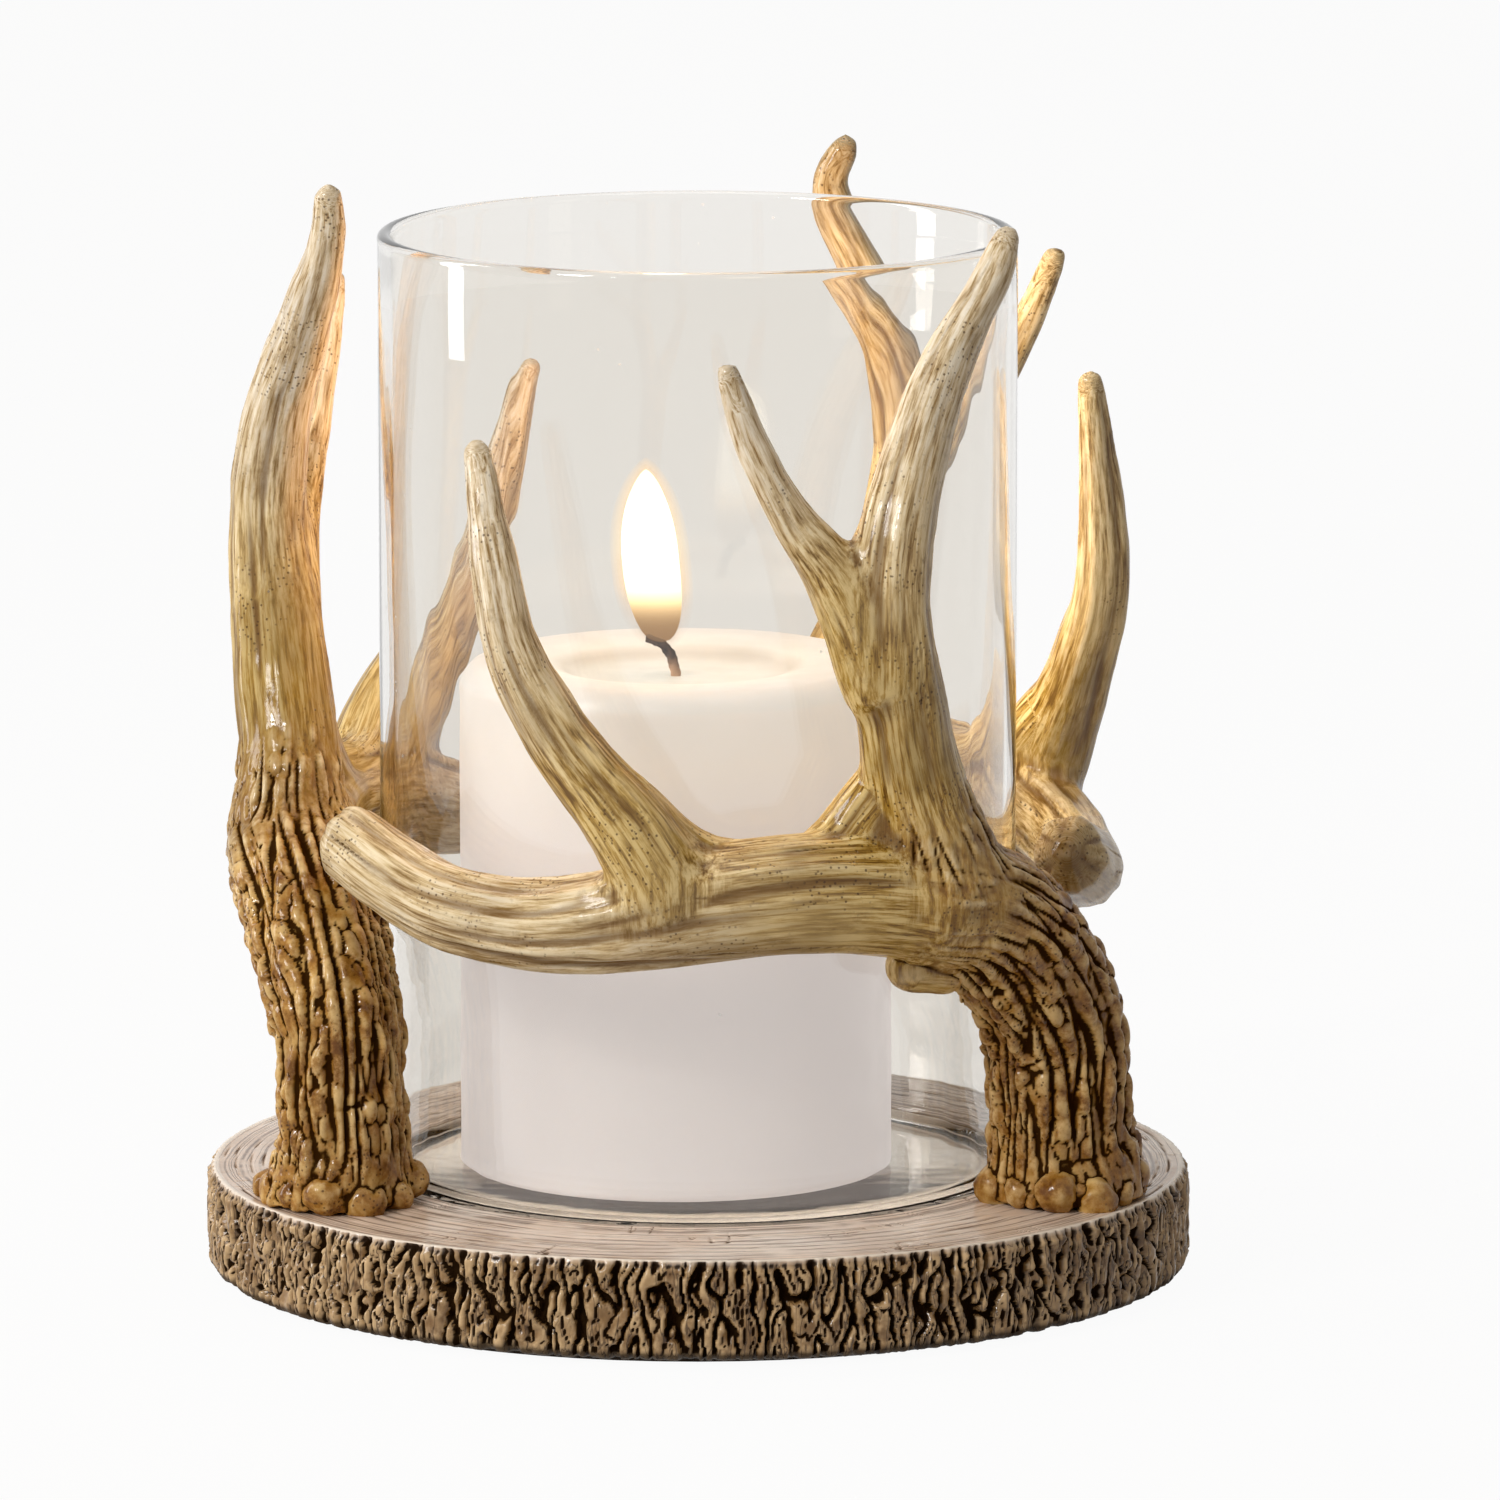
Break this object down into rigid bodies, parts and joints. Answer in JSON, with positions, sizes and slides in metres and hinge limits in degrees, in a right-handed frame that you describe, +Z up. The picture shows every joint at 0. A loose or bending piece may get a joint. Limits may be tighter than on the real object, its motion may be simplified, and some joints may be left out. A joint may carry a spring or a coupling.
{
  "type": "pillar candle holder",
  "caption": "Pillar candle holder: a clear hurricane glass seated in a round log-slice base, ringed by cast antlers, with a burnt pillar candle standing inside.",
  "frame": {"origin": "middle of the felt's flat underside, on the axis of the glass", "axes": "+Z up; -Y towards the camera of the picture, across the beam of the front antler; +X to the right in the picture"},
  "size_m": [0.1825, 0.1815, 0.2066],
  "materials": {
    "slab": "cast resin painted as a log slice: pale rings on top, brown bark round the side",
    "antler": "cast resin painted as antler, tan with brown grooves, satin",
    "screw": "plain steel",
    "felt": "short brown felt",
    "glass": "clear, fire-polished rim",
    "wax": "smooth white wax, softened at the top",
    "wick": "charred cotton braid"
  },
  "bodies": {
    "holder": {"base_slab": "slab", "antler_front": "antler", "antler_left": "antler", "antler_back": "antler", "screw_front": "screw", "screw_left": "screw", "screw_back": "screw", "felt_pad": "felt"},
    "glass": {"glass_cylinder": "glass"},
    "pillar": {"candle": "wax", "wick": "wick"}
  },
  "joints": [
    {"name": "glass_lift", "type": "slide", "parent": "holder", "child": "glass", "axis": [0, 0, 1], "range_m": [0, 0.2]},
    {"name": "candle_lift", "type": "slide", "parent": "glass", "child": "pillar", "axis": [0, 0, 1], "range_m": [0, 0.19]}
  ]
}
